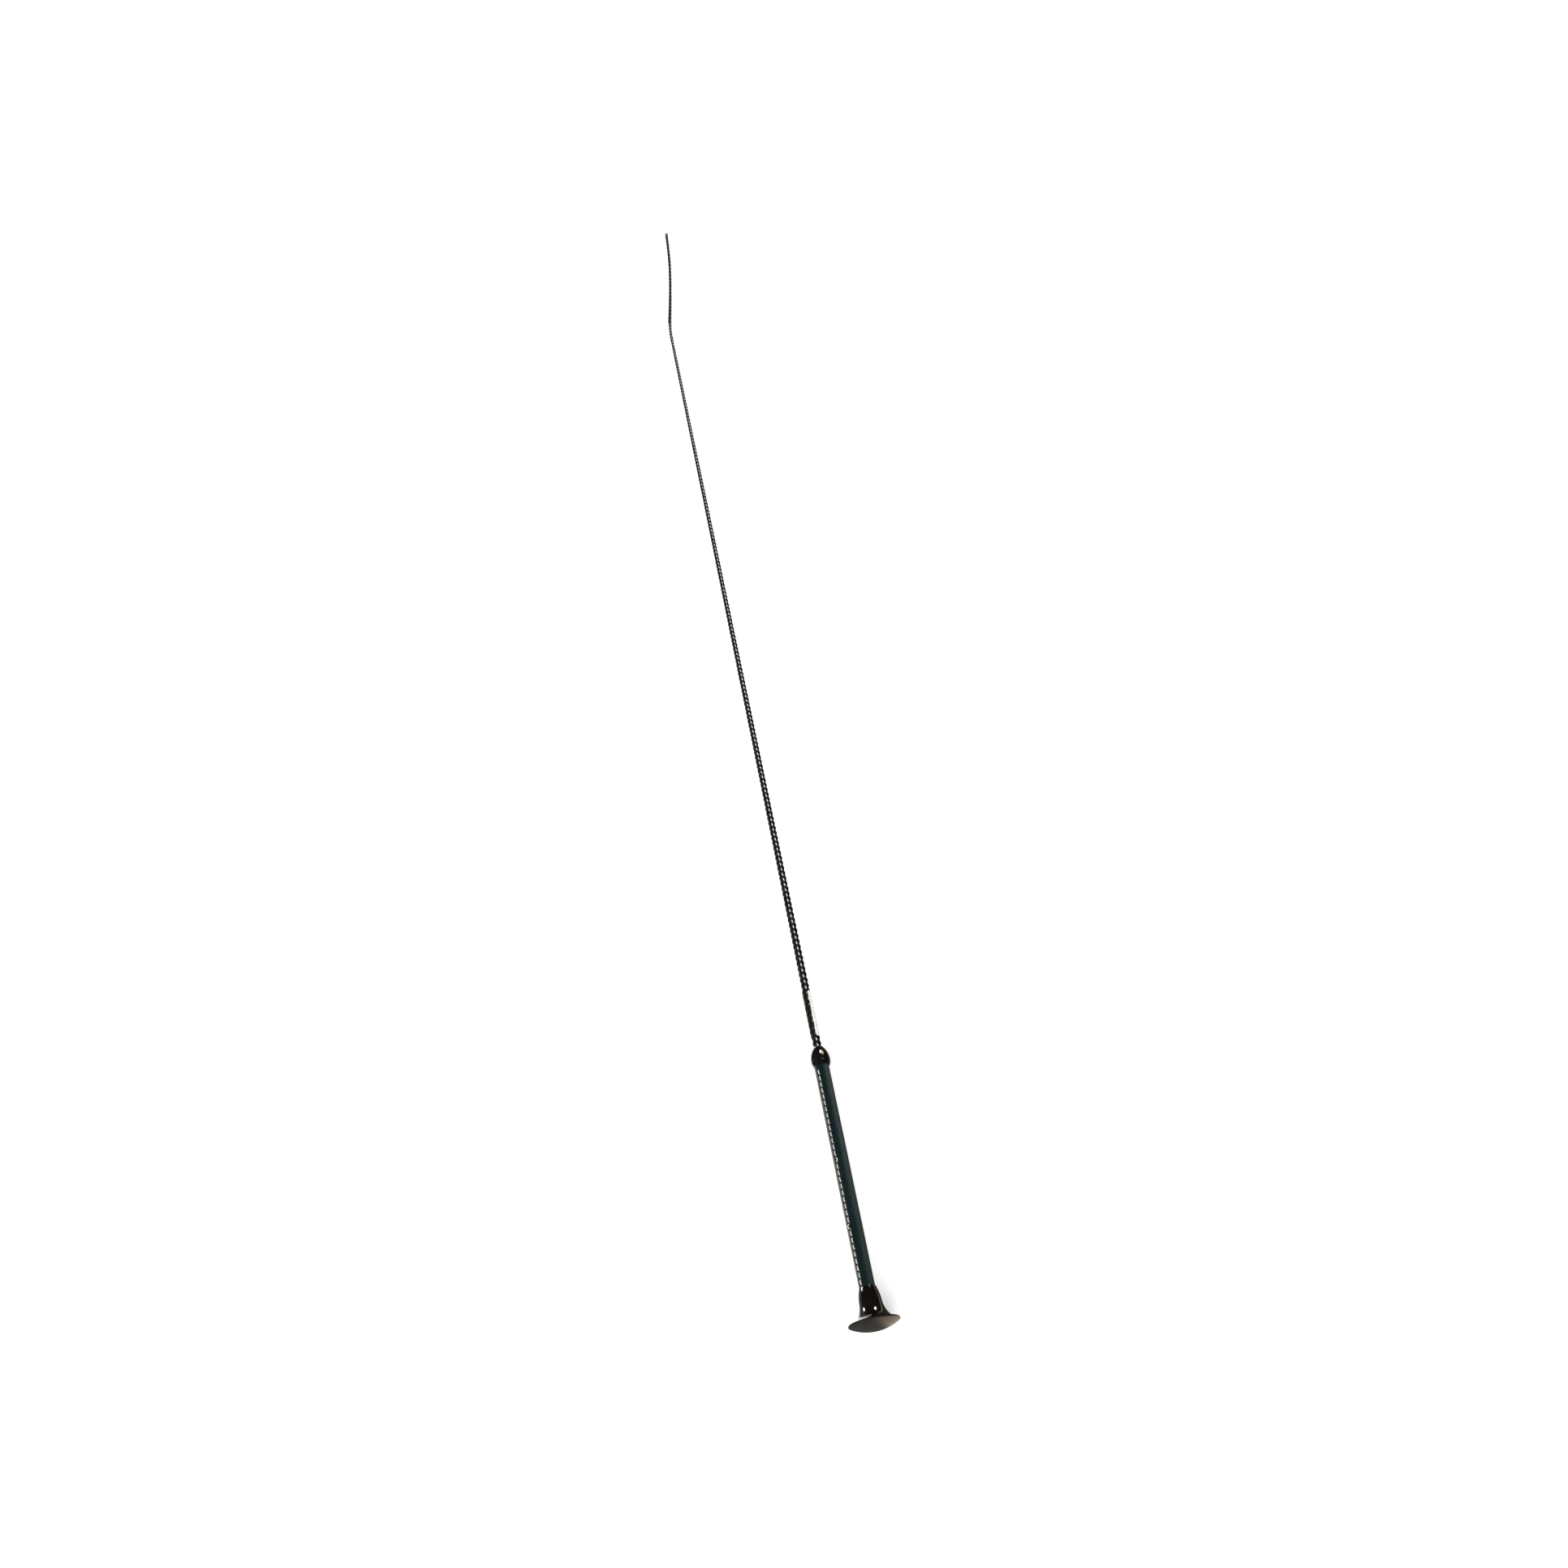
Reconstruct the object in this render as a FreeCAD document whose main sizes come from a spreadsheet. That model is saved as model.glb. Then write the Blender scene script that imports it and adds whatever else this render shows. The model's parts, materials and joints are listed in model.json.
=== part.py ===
"""Dressage riding whip with a mushroom cap, at rest on a level surface.

Every stiff piece is drawn in the whip's own frame: its Z axis is the line down the middle of the
shaft, with 0 at the widest circle of the cap and the lash end at positive Z. One placement then
lays the whip down, so that the cap's rim and the binding at the tip both touch Z = 0, the tip
points along +Y, and the origin is on the surface under the middle of the stiff part.
The lash is drawn where it lies. Lengths are millimetres.
"""

import FreeCAD, Part
import math
import os
import re
import Sketcher

DIMENSIONS = {
    # cap: a dome with a spigot, and a flared socket that takes the grip
    "cap_radius": 18.0,
    "cap_rim_round": 0.7,
    "dome_height": 5.2,
    "parting_height": 0.7,
    "parting_step": 0.35,
    "spigot_radius": 11.5,
    "spigot_height": 1.6,
    "flare_radius": 11.3,
    "flare_height": 4.1,
    "neck_radius": 8.1,
    "neck_height": 13.3,
    "neck_lean_degrees": 3.2,
    "neck_lip": 0.35,
    "neck_pocket_depth": 10.4,
    "weight_radius": 6.4,
    "weight_height": 6.5,
    "rod_end_gap": 1.2,
    "rod_socket_depth": 4.2,
    # core rod and the braided cover over it
    "cover_radius_handle": 3.25,
    "cover_radius_middle": 2.68,
    "cover_radius_tip": 1.52,
    "cover_wall": 0.7,
    "shaft_stout_length": 211.0,
    "shaft_taper_length": 305.0,
    "shaft_slim_length": 309.0,
    # grip: a stiff tube on the rod, and a stitched leather cover on the tube
    "grip_length": 176.0,
    "leather_radius_butt": 5.7,
    "leather_radius_top": 5.55,
    "leather_wall": 1.0,
    "lap_rise": 0.35,
    "lap_edge": 1.5,
    "lap_width": 8.0,
    "seam_angle_butt": 41.0,
    "seam_angle_top": 33.5,
    "channel_width": 1.2,
    "channel_depth": 0.3,
    "thread_radius": 0.4,
    "stitch_length": 3.9,
    "stitch_pitch": 4.75,
    "stitch_margin": 1.0,
    # ferrule: an acorn with one groove, over the top of the grip
    "ferrule_length": 14.8,
    "ferrule_overlap": 4.8,
    "ferrule_mouth_wall": 0.75,
    "ferrule_bulge": 1.1,
    "ferrule_widest": 4.4,
    "ferrule_top_lip": 0.35,
    "ferrule_groove": 3.3,
    "ferrule_groove_half": 0.35,
    # clear sleeve shrunk on the braid
    "sleeve_gap": 8.5,
    "sleeve_length": 37.5,
    "sleeve_wall": 0.35,
    # binding that holds the lash on the tip
    "binding_hold": 8.0,
    "binding_wall": 0.88,
    "binding_end_wall": 0.25,
    "binding_taper": 7.0,
    # lash
    "lash_radius": 1.45,
    "lash_root_length": 19.0,
    "lash_gap": 0.35,
    "lash_end_radius": 1.75,
    "lash_end_length": 4.0,
    # layer of glue between pieces that sit in each other
    "glue": 0.03,
}

# The lash's route from its root: sideways (+X), along (+Y) and up from the surface to its middle,
# where 0 means that it lies on the surface. The root itself is at the shaft's height.
LASH_ROUTE = [
    (4.6, 33.0, 0.35),
    (9.8, 70.0, 0.0),
    (14.6, 108.0, 0.0),
    (17.8, 146.0, 0.0),
]
LASH_TANGENT_SHARE = 0.45

CELLS = {name: f"Dims.{name}" for name in DIMENSIONS}

doc = FreeCAD.newDocument("riding_whip")
sheet = doc.addObject("Spreadsheet::Sheet", "Dims")
for row, (name, size) in enumerate(DIMENSIONS.items(), start=1):
    sheet.set(f"A{row}", name)
    sheet.set(f"B{row}", str(size))
    sheet.setAlias(f"B{row}", name)
doc.recompute()


def bound(expression):
    """The expression with each dimension's name as its cell in the sheet."""
    return re.sub(r"[a-z_]+", lambda word: CELLS.get(word[0], word[0]), expression)


def number(expression):
    """The expression's value now."""
    value = sheet.evalExpression(bound(expression))
    return float(getattr(value, "Value", value))


# Heights along the whip, and radii that more than one piece uses.
SPIGOT_END = "(parting_height + spigot_height)"
WEIGHT_TOP = f"({SPIGOT_END} + weight_height)"
ROD_BUTT = f"({WEIGHT_TOP} + rod_end_gap)"
GRIP_BUTT = f"({WEIGHT_TOP} + rod_socket_depth)"
NECK_TOP = f"({GRIP_BUTT} + neck_pocket_depth)"
GRIP_TOP = f"({GRIP_BUTT} + grip_length)"
FERRULE_MOUTH = f"({GRIP_TOP} - ferrule_overlap)"
FERRULE_TOP = f"({FERRULE_MOUTH} + ferrule_length)"
SLEEVE_BUTT = f"({FERRULE_TOP} + sleeve_gap)"
SLEEVE_TOP = f"({SLEEVE_BUTT} + sleeve_length)"
SHAFT_MIDDLE = f"({FERRULE_TOP} + shaft_stout_length)"
SHAFT_SLIM = f"({SHAFT_MIDDLE} + shaft_taper_length)"
ROD_TIP = f"({SHAFT_SLIM} + shaft_slim_length)"
BINDING_BUTT = f"({ROD_TIP} - binding_hold)"
BINDING_TOP = f"({ROD_TIP} + lash_root_length)"
BINDING_RADIUS = "(cover_radius_tip + binding_wall)"
ROD_HANDLE_RADIUS = "(cover_radius_handle - cover_wall)"
ROD_MIDDLE_RADIUS = "(cover_radius_middle - cover_wall)"
ROD_TIP_RADIUS = "(cover_radius_tip - cover_wall)"

# How the whip lies. The rim's rounded edge and the binding's last full circle touch the surface.
RIM_CENTRE = "(cap_radius - cap_rim_round)"
BINDING_REST = f"({BINDING_TOP} - binding_taper)"
DROP = f"({RIM_CENTRE} - {BINDING_RADIUS})"
TILT = f"(asin(cap_rim_round / sqrt({BINDING_REST}^2 + {DROP}^2)) + atan({DROP} / {BINDING_REST}))"
AXIS_HEIGHT = f"{RIM_CENTRE} * cos({TILT}) + cap_rim_round"
BACK_SHIFT = f"(dome_height - {BINDING_TOP}) / 2 * cos({TILT})"


def lay_down(piece):
    """Place a piece of the stiff whip on the surface."""
    angle = number(TILT)
    piece.Placement = FreeCAD.Placement(
        FreeCAD.Vector(0, number(BACK_SHIFT), number(AXIS_HEIGHT)),
        FreeCAD.Rotation(FreeCAD.Vector(-1, 0, 0), 90 + angle),
    )
    piece.setExpression("Placement.Base.y", bound(BACK_SHIFT))
    piece.setExpression("Placement.Base.z", bound(AXIS_HEIGHT))
    piece.setExpression("Placement.Rotation.Angle", bound(f"90 deg + {TILT}"))


def arc_between(start, end, radius, turn):
    """The short arc from start to end, and whether it runs from start (True) or from end."""
    along = end - start
    middle = (start + end) / 2
    left = FreeCAD.Vector(-along.y, along.x, 0).normalize()
    rise = math.sqrt(radius * radius - along.Length**2 / 4)
    centre = middle + left * rise * turn
    first, last = (start, end) if turn > 0 else (end, start)
    angles = [math.atan2(point.y - centre.y, point.x - centre.x) for point in (first, last)]
    circle = Part.Circle(centre, FreeCAD.Vector(0, 0, 1), radius)
    return Part.ArcOfCircle(circle, *angles), turn > 0


def turned(label, outline):
    """A body turned about the whip's axis from a closed outline.

    Each corner is (radius, height, edge to the next corner), and the edge is None for a straight
    one or (radius, turn) for an arc, whose turn is 1 to the left and -1 to the right.
    """
    body = doc.addObject("PartDesign::Body", f"{label}_body")
    body.Label = label
    sketch = body.newObject("Sketcher::SketchObject", f"{label}_outline")
    plane = [item for item in body.Origin.OriginFeatures if item.Role == "XZ_Plane"][0]
    sketch.AttachmentSupport = [(plane, "")]
    sketch.MapMode = "FlatFace"
    corners = [FreeCAD.Vector(number(r), number(z), 0) for r, z, _ in outline]
    edges = []
    for i, (_, _, bend) in enumerate(outline):
        start, end = corners[i], corners[(i + 1) % len(corners)]
        if bend is None:
            edges.append((sketch.addGeometry(Part.LineSegment(start, end)), 1, 2))
        else:
            arc, forward = arc_between(start, end, number(bend[0]), bend[1])
            edges.append((sketch.addGeometry(arc), 1 if forward else 2, 2 if forward else 1))
    for i, (_, _, last) in enumerate(edges):
        following = edges[(i + 1) % len(edges)]
        joint = Sketcher.Constraint("Coincident", edges[i][0], last, following[0], following[1])
        sketch.addConstraint(joint)
    sizes = []
    for i, (r, z, bend) in enumerate(outline):
        geometry, first, _ = edges[i]
        if r == "0":
            sketch.addConstraint(Sketcher.Constraint("PointOnObject", geometry, first, -2))
        else:
            sizes.append((f"r{i}", ("DistanceX", -1, 1, geometry, first, number(r)), r))
        sizes.append((f"z{i}", ("DistanceY", -1, 1, geometry, first, number(z)), z))
        if bend is not None:
            sizes.append((f"bend{i}", ("Radius", geometry, number(bend[0])), bend[0]))
    for name, constraint, expression in sizes:
        index = sketch.addConstraint(Sketcher.Constraint(*constraint))
        sketch.renameConstraint(index, name)
        sketch.setExpression(f"Constraints.{name}", bound(expression))
    turning = body.newObject("PartDesign::Revolution", f"{label}_turned")
    turning.Profile = sketch
    turning.ReferenceAxis = (sketch, ["V_Axis"])
    turning.Angle = 360
    lay_down(body)
    return body


def cone(label, radius_low, radius_high, low, high):
    """A Part cone on the whip's axis."""
    piece = doc.addObject("Part::Cone", label)
    for name, expression in (
        ("Radius1", radius_low),
        ("Radius2", radius_high),
        ("Height", f"{high} - {low}"),
        ("Placement.Base.z", low),
    ):
        piece.setExpression(name, bound(expression))
    return piece


def on_taper(radii, heights, at):
    """The radius at a height on a straight taper, as an expression."""
    low, high = heights
    share = f"(({at}) - {low}) / ({high} - {low})"
    return f"({radii[0]} + ({radii[1]} - {radii[0]}) * {share})"


def cover_radius(at):
    """The cover's outside radius on its stout stretch, as an expression."""
    return on_taper(("cover_radius_handle", "cover_radius_middle"), (FERRULE_TOP, SHAFT_MIDDLE), at)


def leather_radius(at):
    """The leather's outside radius, as an expression."""
    return on_taper(("leather_radius_butt", "leather_radius_top"), (GRIP_BUTT, GRIP_TOP), at)


def make_cap_crown():
    parting_radius = "(cap_radius - parting_step)"
    parting, spigot_top = "parting_height - glue", f"{SPIGOT_END} - glue"
    # The dome is part of a sphere that ends where the rim's rounded edge starts.
    dome_edge, dome_rise = "(cap_radius - cap_rim_round / 2)", "(dome_height - cap_rim_round * 0.87)"
    dome_round = f"({dome_edge}^2 + {dome_rise}^2) / (2 * {dome_rise})"
    return turned(
        "cap_crown",
        [
            ("0", "-dome_height", (dome_round, 1)),
            (dome_edge, "-cap_rim_round * 0.87", ("cap_rim_round", 1)),
            ("cap_radius", "0", ("cap_rim_round", 1)),
            (parting_radius, parting, None),
            ("spigot_radius - glue", parting, None),
            ("spigot_radius - glue", spigot_top, None),
            ("0", spigot_top, None),
        ],
    )


def chord_of(low, high):
    """The length of the chord between two corners of an outline, and its lean from the axis."""
    out, up = f"(({low[0]}) - ({high[0]}))", f"(({high[1]}) - ({low[1]}))"
    return f"sqrt({out}^2 + {up}^2)", f"atan({out} / {up})"


def round_for(chord, turn):
    """The radius of the arc over a chord whose tangent turns from it by that angle at each end."""
    return f"{chord} / (2 * sin({turn}))"


def make_cap_socket():
    pocket = f"({leather_radius(GRIP_BUTT)} + glue)"
    floor = f"{GRIP_BUTT} - glue"
    bore = f"{ROD_HANDLE_RADIUS} + glue"
    # Three arcs from the rim to the lip, tangent to each other. The lean is the neck's own there.
    rim = ("cap_radius - parting_step", "parting_height")
    flare = ("flare_radius", "flare_height")
    neck = ("neck_radius", "neck_height")
    lip = (f"{pocket} + neck_lip", f"{NECK_TOP} - neck_lip * 0.8")
    lean = "neck_lean_degrees * 1 deg"
    shoulder_chord, shoulder_lean = chord_of(neck, lip)
    neck_chord, neck_lean = chord_of(flare, neck)
    flare_chord, flare_lean = chord_of(rim, flare)
    shoulder_round = round_for(shoulder_chord, f"{shoulder_lean} - {lean}")
    neck_round = round_for(neck_chord, f"{neck_lean} - {lean}")
    flare_round = round_for(flare_chord, f"{flare_lean} - 2 * {neck_lean} + {lean}")
    return turned(
        "cap_socket",
        [
            ("spigot_radius", "parting_height", None),
            (*rim, (flare_round, -1)),
            (*flare, (neck_round, -1)),
            (*neck, (shoulder_round, 1)),
            (*lip, ("neck_lip", 1)),
            (f"{pocket} + neck_lip * 0.4", NECK_TOP, None),
            (pocket, NECK_TOP, None),
            (pocket, floor, None),
            (bore, floor, None),
            (bore, f"{WEIGHT_TOP} + glue", None),
            ("weight_radius + glue", f"{WEIGHT_TOP} + glue", None),
            ("weight_radius + glue", SPIGOT_END, None),
            ("spigot_radius", SPIGOT_END, None),
        ],
    )


def make_cap_weight():
    return turned(
        "cap_weight",
        [
            ("0", SPIGOT_END, None),
            ("weight_radius", SPIGOT_END, None),
            ("weight_radius", WEIGHT_TOP, None),
            ("0", WEIGHT_TOP, None),
        ],
    )


def make_core_rod():
    return turned(
        "core_rod",
        [
            ("0", ROD_BUTT, None),
            (ROD_HANDLE_RADIUS, ROD_BUTT, None),
            (ROD_HANDLE_RADIUS, FERRULE_TOP, None),
            (ROD_MIDDLE_RADIUS, SHAFT_MIDDLE, None),
            (ROD_TIP_RADIUS, SHAFT_SLIM, None),
            (ROD_TIP_RADIUS, ROD_TIP, None),
            ("0", ROD_TIP, None),
        ],
    )


def make_braided_cover():
    start = f"{GRIP_TOP} + glue"
    return turned(
        "braided_cover",
        [
            (f"{ROD_HANDLE_RADIUS} + glue", start, None),
            ("cover_radius_handle", start, None),
            ("cover_radius_handle", FERRULE_TOP, None),
            ("cover_radius_middle", SHAFT_MIDDLE, None),
            ("cover_radius_tip", SHAFT_SLIM, None),
            ("cover_radius_tip", ROD_TIP, None),
            (f"{ROD_TIP_RADIUS} + glue", ROD_TIP, None),
            (f"{ROD_TIP_RADIUS} + glue", SHAFT_SLIM, None),
            (f"{ROD_MIDDLE_RADIUS} + glue", SHAFT_MIDDLE, None),
            (f"{ROD_HANDLE_RADIUS} + glue", FERRULE_TOP, None),
        ],
    )


def make_clear_sleeve():
    low, high = cover_radius(SLEEVE_BUTT), cover_radius(SLEEVE_TOP)
    return turned(
        "clear_sleeve",
        [
            (f"{low} + glue", SLEEVE_BUTT, None),
            (f"{low} + sleeve_wall", SLEEVE_BUTT, None),
            (f"{high} + sleeve_wall", SLEEVE_TOP, None),
            (f"{high} + glue", SLEEVE_TOP, None),
        ],
    )


def make_ferrule():
    pocket = f"({leather_radius(FERRULE_MOUTH)} + glue)"
    bore = "(cover_radius_handle + glue)"
    shoulder = f"{GRIP_TOP} + glue"
    mouth_radius = f"({pocket} + ferrule_mouth_wall)"
    widest_radius = f"({mouth_radius} + ferrule_bulge)"
    top_radius = f"({bore} + ferrule_top_lip)"
    # Both arcs are tangent to the widest circle.
    lower_round = f"((ferrule_bulge^2 + ferrule_widest^2) / (2 * ferrule_bulge))"
    narrowing, rest = f"({widest_radius} - {top_radius})", "(ferrule_length - ferrule_widest)"
    upper_round = f"(({narrowing}^2 + {rest}^2) / (2 * {narrowing}))"
    groove = {}
    for side, sign in (("below", "-"), ("above", "+")):
        height = f"(ferrule_groove {sign} ferrule_groove_half)"
        rise = f"sqrt({lower_round}^2 - (ferrule_widest - {height})^2)"
        groove[side] = (f"{widest_radius} - {lower_round} + {rise}", f"{FERRULE_MOUTH} + {height}")
    return turned(
        "ferrule",
        [
            (pocket, FERRULE_MOUTH, None),
            (mouth_radius, FERRULE_MOUTH, (lower_round, 1)),
            (*groove["below"], ("ferrule_groove_half * 1.2", -1)),
            (*groove["above"], (lower_round, 1)),
            (widest_radius, f"{FERRULE_MOUTH} + ferrule_widest", (upper_round, 1)),
            (top_radius, FERRULE_TOP, None),
            (bore, FERRULE_TOP, None),
            (bore, shoulder, None),
            (pocket, shoulder, None),
        ],
    )


def make_grip_core():
    bore = f"{ROD_HANDLE_RADIUS} + glue"
    return turned(
        "grip_core",
        [
            (bore, GRIP_BUTT, None),
            ("leather_radius_butt - leather_wall - glue", GRIP_BUTT, None),
            ("leather_radius_top - leather_wall - glue", GRIP_TOP, None),
            (bore, GRIP_TOP, None),
        ],
    )


def seam_angle(height):
    """The seam's angle from straight up, towards -X, at a height on the grip, in degrees."""
    low, high = number(NECK_TOP), number(FERRULE_MOUTH)
    share = (height - low) / (high - low)
    return number("seam_angle_butt") + share * (number("seam_angle_top") - number("seam_angle_butt"))


def by_seam(height, radius, across):
    """The point at that height and radius, a distance across from the seam towards +X."""
    angle = math.radians(seam_angle(height)) - across / radius
    return FreeCAD.Vector(-radius * math.sin(angle), -radius * math.cos(angle), height)


def along_seam(label, section):
    """A solid that follows the seam along the open grip. section(height) is its outline there."""
    piece = doc.addObject("Part::Feature", label)
    ends = [number(f"{NECK_TOP} + glue"), number(f"{FERRULE_MOUTH} - glue")]
    piece.Shape = Part.makeLoft([section(height) for height in ends], True, True)
    return piece


def lap_section(height):
    """The raised edge of the leather that laps over the other, thinning away from the seam."""
    radius, rise = number(leather_radius(str(height))), number("lap_rise")
    edge, far = -number("lap_edge"), number("lap_width")
    root = radius - number("leather_wall") / 3
    outer = [(edge, radius + rise), ((edge + far) / 2, radius + rise * 0.6), (far, radius - 0.02)]
    inner = [(far, root), ((edge + far) / 2, root), (edge, root)]
    arcs = [
        Part.Arc(*[by_seam(height, r, across) for across, r in side]).toShape()
        for side in (outer, inner)
    ]
    ends = [
        Part.LineSegment(by_seam(height, outer[2][1], far), by_seam(height, root, far)).toShape(),
        Part.LineSegment(by_seam(height, root, edge), by_seam(height, outer[0][1], edge)).toShape(),
    ]
    return Part.Wire([arcs[0], ends[0], arcs[1], ends[1]])


def channel_section(height):
    """The channel that the stitches lie in."""
    radius, half = number(leather_radius(str(height))), number("channel_width") / 2
    low = radius + number("lap_rise") - number("channel_depth")
    high = low + 2 * number("thread_radius") + 1
    corners = [(low, -half), (high, -half), (high, half), (low, half), (low, -half)]
    return Part.makePolygon([by_seam(height, r, across) for r, across in corners])


def make_grip_leather():
    outside = cone("leather_outside", "leather_radius_butt", "leather_radius_top", GRIP_BUTT, GRIP_TOP)
    inside = cone(
        "leather_inside",
        "leather_radius_butt - leather_wall",
        "leather_radius_top - leather_wall",
        GRIP_BUTT,
        GRIP_TOP,
    )
    skin = doc.addObject("Part::Fuse", "leather_with_lap")
    skin.Base, skin.Tool = outside, along_seam("leather_lap", lap_section)
    channelled = doc.addObject("Part::Cut", "leather_with_channel")
    channelled.Base, channelled.Tool = skin, along_seam("leather_channel", channel_section)
    leather = doc.addObject("Part::Cut", "grip_leather_cut")
    leather.Base, leather.Tool = channelled, inside
    leather.Label = "grip_leather"
    lay_down(leather)
    return leather


def make_seam_stitches():
    """One row of machine stitches, each a short length of thread with round ends."""
    thread, length, pitch = (number(name) for name in ("thread_radius", "stitch_length", "stitch_pitch"))
    low = number(f"{NECK_TOP} + stitch_margin")
    room = number(f"{FERRULE_MOUTH} - stitch_margin") - low
    count = int((room - length) / pitch) + 1
    stitches = []
    for i in range(count):
        start = low + i * pitch + thread
        end = start + length - 2 * thread
        bed = number(f"{leather_radius(str(start))} + lap_rise - channel_depth + thread_radius + glue")
        points = [by_seam(height, bed, 0) for height in (start, end)]
        along = points[1] - points[0]
        body = Part.makeCylinder(thread, along.Length, points[0], along)
        stitches.append(body.multiFuse([Part.makeSphere(thread, point) for point in points]))
    piece = doc.addObject("Part::Feature", "seam_stitches_group")
    piece.Label = "seam_stitches"
    piece.Shape = Part.Compound(stitches)
    lay_down(piece)
    return piece


def make_tip_binding():
    cover_bore, lash_bore = "cover_radius_tip + glue", "lash_radius + glue"
    step = f"{ROD_TIP} + glue"
    return turned(
        "tip_binding",
        [
            (cover_bore, BINDING_BUTT, None),
            ("cover_radius_tip + binding_end_wall", BINDING_BUTT, None),
            (BINDING_RADIUS, f"{BINDING_BUTT} + binding_taper", None),
            (BINDING_RADIUS, BINDING_REST, None),
            ("lash_radius + binding_end_wall", BINDING_TOP, None),
            (lash_bore, BINDING_TOP, None),
            (lash_bore, step, None),
            (cover_bore, step, None),
        ],
    )


def make_lash_root():
    """The end of the lash that the binding holds, from the rod's tip to the binding's end."""
    start = f"{ROD_TIP} + 2 * glue"
    return turned(
        "lash_root",
        [
            ("0", start, None),
            ("lash_radius", start, None),
            ("lash_radius", BINDING_TOP, None),
            ("0", BINDING_TOP, None),
        ],
    )


def lash_points():
    """The corners of the lash's route in the row's frame. The first is the hinge at its root."""
    laid = FreeCAD.Placement(
        FreeCAD.Vector(0, number(BACK_SHIFT), number(AXIS_HEIGHT)),
        FreeCAD.Rotation(FreeCAD.Vector(-1, 0, 0), 90 + number(TILT)),
    )
    radius = number("lash_radius")
    root_height = number(f"{BINDING_TOP} + lash_gap + lash_radius")
    root = laid.multVec(FreeCAD.Vector(0, 0, root_height))
    rest = [FreeCAD.Vector(root.x + x, root.y + y, radius + up) for x, y, up in LASH_ROUTE]
    return [root, *rest]


def rounded_path(points):
    """Straight runs joined by tangent arcs, as large as the two runs at each corner allow."""
    edges, radii, start = [], [], points[0]
    for before, corner, after in zip(points, points[1:], points[2:]):
        back, on = (before - corner), (after - corner)
        cut = LASH_TANGENT_SHARE * min(back.Length, on.Length)
        turn = math.pi - back.getAngle(on)
        radii.append(cut / math.tan(turn / 2))
        back.normalize()
        on.normalize()
        enter, leave = corner + back * cut, corner + on * cut
        inward = (back + on).normalize()
        middle = corner + inward * radii[-1] * (1 / math.cos(turn / 2) - 1)
        edges.append(Part.LineSegment(start, enter).toShape())
        edges.append(Part.Arc(enter, middle, leave).toShape())
        start = leave
    edges.append(Part.LineSegment(start, points[-1]).toShape())
    return Part.Wire(edges), radii


def swept(path, radius):
    """A round tube along a path."""
    start = path.Edges[0]
    first = start.valueAt(start.FirstParameter)
    ring = Part.Wire(Part.makeCircle(radius, first, start.tangentAt(start.FirstParameter)))
    return path.makePipeShell([ring], True, False)


def make_lash():
    radius = number("lash_radius")
    points = lash_points()
    path, radii = rounded_path(points)
    tube = swept(path, radius)
    expected = math.pi * radius * radius * path.Length
    print("lash: length", round(path.Length, 1), "radii", [round(r) for r in radii])
    print("lash: volume over section times length", round(tube.Volume / expected, 4))
    if abs(tube.Volume / expected - 1) > 0.01:
        raise ValueError("the lash's tube isn't its section times its length")
    piece = doc.addObject("Part::Feature", "lash_tube")
    piece.Label = "lash"
    piece.Shape = tube.fuse(Part.makeSphere(radius, points[0])).removeSplitter()
    return piece


def make_lash_end():
    """The bound and melted end that keeps the lash from fraying."""
    points = lash_points()
    along = (points[-1] - points[-2]).normalize()
    radius, length = number("lash_end_radius"), number("lash_end_length")
    rise = FreeCAD.Vector(0, 0, radius - number("lash_radius"))
    body = Part.makeCylinder(radius, length, points[-1] + rise, along)
    piece = doc.addObject("Part::Feature", "lash_end_seal")
    piece.Label = "lash_end"
    piece.Shape = body.makeFillet(radius * 0.4, [edge for edge in body.Edges if edge.Closed])
    return piece


pieces = [
    make_cap_crown(),
    make_cap_socket(),
    make_cap_weight(),
    make_core_rod(),
    make_braided_cover(),
    make_clear_sleeve(),
    make_ferrule(),
    make_grip_core(),
    make_grip_leather(),
    make_seam_stitches(),
    make_tip_binding(),
    make_lash_root(),
    make_lash(),
    make_lash_end(),
]
doc.recompute()

for item in doc.Objects:
    if "Invalid" in item.State or "Error" in item.State:
        raise ValueError(f"{item.Label} didn't build: {item.State}")
for piece in pieces:
    if piece.Shape.isNull() or not piece.Shape.isValid() or not piece.Shape.Solids:
        raise ValueError(f"{piece.Label} isn't a valid solid")

os.makedirs("parts", exist_ok=True)
for piece in pieces:
    piece.Shape.exportStep(f"parts/{piece.Label}.step")
    box = piece.Shape.optimalBoundingBox(True, False)
    print(f"{piece.Label:14s} {len(piece.Shape.Solids):3d} {piece.Shape.Volume:9.1f}", end="  ")
    print(f"x {box.XMin:7.2f} {box.XMax:7.2f}  y {box.YMin:8.2f} {box.YMax:8.2f}", end="  ")
    print(f"z {box.ZMin:6.2f} {box.ZMax:6.2f}")
root = lash_points()[0]
print("lash hinge at", [round(value, 3) for value in (root.x, root.y, root.z)])
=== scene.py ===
"""How a dressage riding whip looks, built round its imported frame.

Lengths are in metres. A piece of the stiff whip is shaped with its axis upright, and is then laid down
on the axis that the hand_grip mount gives. A height is measured along that axis from the mount, and an
angle round it from straight up, towards +X.
"""

import math

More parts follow.
